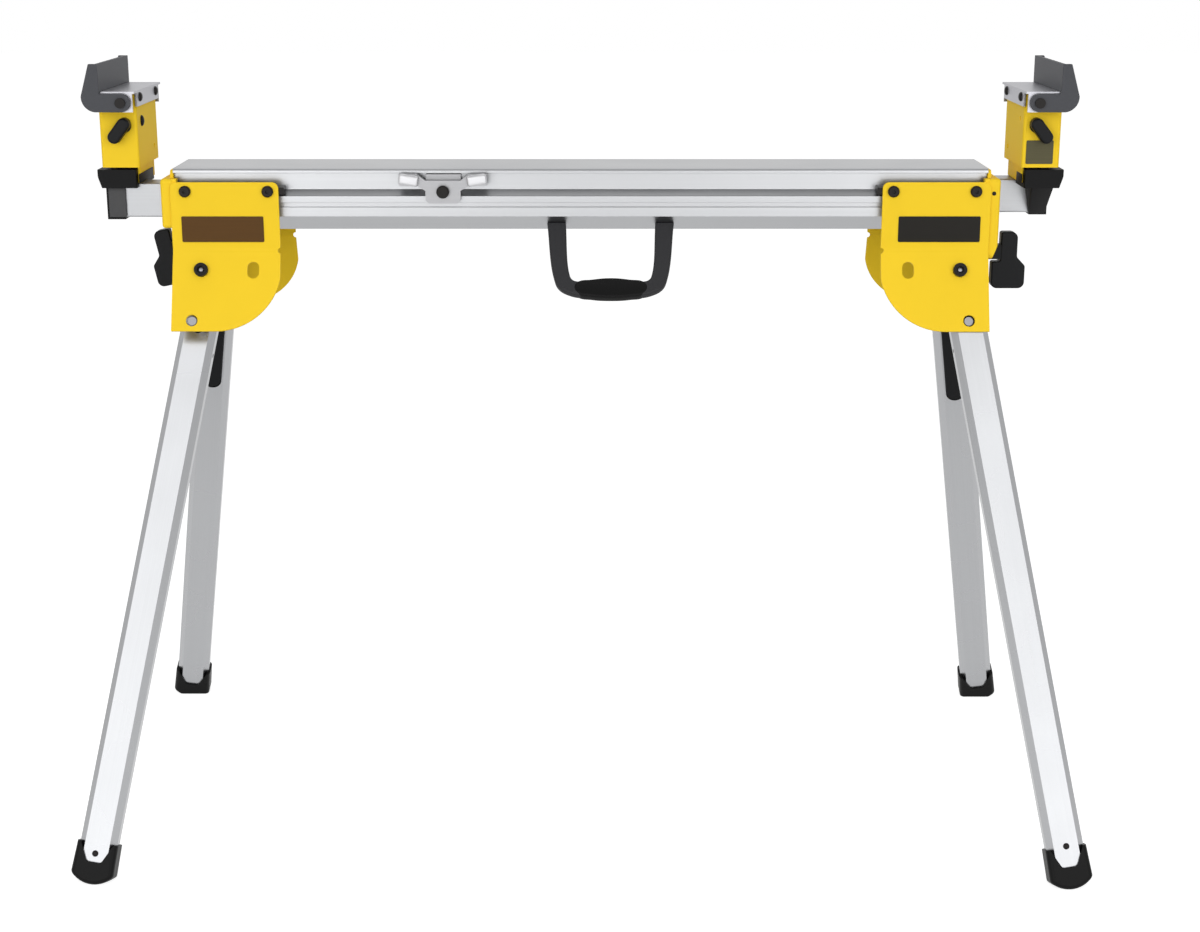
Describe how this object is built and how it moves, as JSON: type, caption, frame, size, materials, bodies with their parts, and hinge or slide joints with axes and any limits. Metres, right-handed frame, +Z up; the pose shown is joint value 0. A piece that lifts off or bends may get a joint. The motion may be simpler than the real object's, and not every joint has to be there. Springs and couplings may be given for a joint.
{
  "type": "miter saw stand",
  "caption": "Folding stand for a miter saw: an aluminium beam on splayed folding legs, with sliding end supports that carry height-adjustable plates and flip-up stops.",
  "frame": {"origin": "on the floor, under the middle of the beam", "axes": "+X along the beam to the right, -Y to the front where the carry handle is, +Z up"},
  "size_m": [1.2308, 0.6646, 0.957],
  "materials": {
    "beam": "satin anodised extrusion",
    "yellow": "satin yellow powder coat",
    "leg": "satin anodised",
    "black_plastic": "fine matt moulded grain",
    "grey_casting": "bead-blasted casting",
    "stop_grey": "matt moulded, dark grey",
    "steel": "zinc-plated",
    "black_steel": "black oxide",
    "rubber": "matt"
  },
  "bodies": {
    "frame": {"beam_extrusion": "beam", "end_housing_right": "yellow", "end_housing_left": "yellow", "tube_bushes": "black_plastic", "clamp_wedges": "black_plastic", "clamp_pins": "steel", "leg_plate_front_right": "yellow", "leg_plate_front_left": "yellow", "leg_plate_rear_right": "yellow", "leg_plate_rear_left": "yellow", "spacer_bars": "black_steel", "plate_bolts": "black_steel", "leg_pivot_bolts": "steel", "leg_pivot_nuts": "steel", "leg_pivot_spacers": "black_plastic", "carry_handle": "black_plastic"},
    "clip": {"clip_bracket": "grey_casting", "clip_screw": "black_steel"},
    "extension_right": {"extension_tube_right": "leg", "tube_plug_right": "black_plastic", "head_base_right": "black_plastic", "head_post_right": "yellow"},
    "head_right": {"head_housing_right": "yellow", "head_top_plate_right": "steel", "head_screws_right": "black_steel", "stop_pins_right": "steel"},
    "stop_right": {"flip_stop_right": "stop_grey"},
    "knob_right": {"head_knob_right": "black_plastic"},
    "tube_clamp_right": {"tube_clamp_lever_right": "black_plastic"},
    "extension_left": {"extension_tube_left": "leg", "tube_plug_left": "black_plastic", "head_base_left": "black_plastic", "head_post_left": "yellow"},
    "head_left": {"head_housing_left": "yellow", "head_top_plate_left": "steel", "head_screws_left": "black_steel", "stop_pins_left": "steel"},
    "stop_left": {"flip_stop_left": "stop_grey"},
    "knob_left": {"head_knob_left": "black_plastic"},
    "tube_clamp_left": {"tube_clamp_lever_left": "black_plastic"},
    "leg_front_right": {"leg_tube_front_right": "leg", "leg_insert_front_right": "black_plastic", "foot_cap_front_right": "rubber"},
    "release_front_right": {"release_lever_front_right": "black_plastic"},
    "pin_front_right": {"lock_pin_front_right": "steel"},
    "leg_front_left": {"leg_tube_front_left": "leg", "leg_insert_front_left": "black_plastic", "foot_cap_front_left": "rubber"},
    "release_front_left": {"release_lever_front_left": "black_plastic"},
    "pin_front_left": {"lock_pin_front_left": "steel"},
    "leg_rear_right": {"leg_tube_rear_right": "leg", "leg_insert_rear_right": "black_plastic", "foot_cap_rear_right": "rubber"},
    "release_rear_right": {"release_lever_rear_right": "black_plastic"},
    "pin_rear_right": {"lock_pin_rear_right": "steel"},
    "leg_rear_left": {"leg_tube_rear_left": "leg", "leg_insert_rear_left": "black_plastic", "foot_cap_rear_left": "rubber"},
    "release_rear_left": {"release_lever_rear_left": "black_plastic"},
    "pin_rear_left": {"lock_pin_rear_left": "steel"}
  },
  "joints": [
    {"name": "clip_slide", "type": "slide", "parent": "frame", "child": "clip", "axis": [1, 0, 0], "range_m": [-0.13, 0.46]},
    {"name": "extension_right_slide", "type": "slide", "parent": "frame", "child": "extension_right", "axis": [1, 0, 0], "range_m": [0, 0.63]},
    {"name": "head_right_height", "type": "slide", "parent": "extension_right", "child": "head_right", "axis": [0, 0, 1], "range_m": [0, 0.03]},
    {"name": "stop_right_flip", "type": "hinge", "parent": "head_right", "child": "stop_right", "pos_m": [0.552, 0, 0.911], "axis": [0, -1, 0], "range_deg": [0, 180]},
    {"name": "knob_right_turn", "type": "hinge", "parent": "head_right", "child": "knob_right", "pos_m": [0.555, -0.06, 0.882], "axis": [0, -1, 0], "range_deg": [0, 120]},
    {"name": "tube_clamp_right_swing", "type": "hinge", "parent": "frame", "child": "tube_clamp_right", "pos_m": [0.5108, -0.024, 0.748], "axis": [0, -1, 0], "range_deg": [-12, 75]},
    {"name": "extension_left_slide", "type": "slide", "parent": "frame", "child": "extension_left", "axis": [-1, 0, 0], "range_m": [0, 0.63]},
    {"name": "head_left_height", "type": "slide", "parent": "extension_left", "child": "head_left", "axis": [0, 0, 1], "range_m": [0, 0.03]},
    {"name": "stop_left_flip", "type": "hinge", "parent": "head_left", "child": "stop_left", "pos_m": [-0.552, 0, 0.911], "axis": [0, 1, 0], "range_deg": [0, 180]},
    {"name": "knob_left_turn", "type": "hinge", "parent": "head_left", "child": "knob_left", "pos_m": [-0.555, -0.06, 0.882], "axis": [0, 1, 0], "range_deg": [0, 120]},
    {"name": "tube_clamp_left_swing", "type": "hinge", "parent": "frame", "child": "tube_clamp_left", "pos_m": [-0.5108, 0.024, 0.748], "axis": [0, 1, 0], "range_deg": [0, 87]},
    {"name": "leg_front_right_fold", "type": "hinge", "parent": "frame", "child": "leg_front_right", "pos_m": [0.4665, -0.07351, 0.70713], "axis": [0, 0.9373, -0.3486], "range_deg": [0, 99.5]},
    {"name": "release_front_right_press", "type": "hinge", "parent": "leg_front_right", "child": "release_front_right", "pos_m": [0.48218, -0.09004, 0.61331], "axis": [-0.9863, -0.0575, -0.1547], "range_deg": [0, 5.5], "stiffness_Nm_per_rad": 4, "springref_deg": -1.72},
    {"name": "pin_front_right_draw", "type": "slide", "parent": "leg_front_right", "child": "pin_front_right", "axis": [0, 0.9373, -0.3486], "range_m": [0, 0.0032]},
    {"name": "leg_front_left_fold", "type": "hinge", "parent": "frame", "child": "leg_front_left", "pos_m": [-0.4665, -0.07422, 0.70741], "axis": [0, -0.9259, 0.3778], "range_deg": [0, 99.5]},
    {"name": "release_front_left_press", "type": "hinge", "parent": "leg_front_left", "child": "release_front_left", "pos_m": [-0.48218, -0.06101, 0.60082], "axis": [-0.9863, 0.0624, 0.1528], "range_deg": [0, 5.5], "stiffness_Nm_per_rad": 4, "springref_deg": -1.72},
    {"name": "pin_front_left_draw", "type": "slide", "parent": "leg_front_left", "child": "pin_front_left", "axis": [0, 0.9259, -0.3778], "range_m": [0, 0.0032]},
    {"name": "leg_rear_right_fold", "type": "hinge", "parent": "frame", "child": "leg_rear_right", "pos_m": [0.4665, 0.07422, 0.70741], "axis": [0, 0.9259, 0.3778], "range_deg": [0, 99.5]},
    {"name": "release_rear_right_press", "type": "hinge", "parent": "leg_rear_right", "child": "release_rear_right", "pos_m": [0.48218, 0.06101, 0.60082], "axis": [0.9863, -0.0624, 0.1528], "range_deg": [0, 5.5], "stiffness_Nm_per_rad": 4, "springref_deg": -1.72},
    {"name": "pin_rear_right_draw", "type": "slide", "parent": "leg_rear_right", "child": "pin_rear_right", "axis": [0, -0.9259, -0.3778], "range_m": [0, 0.0032]},
    {"name": "leg_rear_left_fold", "type": "hinge", "parent": "frame", "child": "leg_rear_left", "pos_m": [-0.4665, 0.07351, 0.70713], "axis": [0, -0.9373, -0.3486], "range_deg": [0, 99.5]},
    {"name": "release_rear_left_press", "type": "hinge", "parent": "leg_rear_left", "child": "release_rear_left", "pos_m": [-0.48218, 0.09004, 0.61331], "axis": [0.9863, 0.0575, -0.1547], "range_deg": [0, 5.5], "stiffness_Nm_per_rad": 4, "springref_deg": -1.72},
    {"name": "pin_rear_left_draw", "type": "slide", "parent": "leg_rear_left", "child": "pin_rear_left", "axis": [0, -0.9373, -0.3486], "range_m": [0, 0.0032]}
  ],
  "couplings": [
    {"joint": "pin_front_right_draw", "follows": "release_front_right_press", "m_per_rad": 0.0313},
    {"joint": "pin_front_left_draw", "follows": "release_front_left_press", "m_per_rad": 0.0313},
    {"joint": "pin_rear_right_draw", "follows": "release_rear_right_press", "m_per_rad": 0.0313},
    {"joint": "pin_rear_left_draw", "follows": "release_rear_left_press", "m_per_rad": 0.0313}
  ]
}
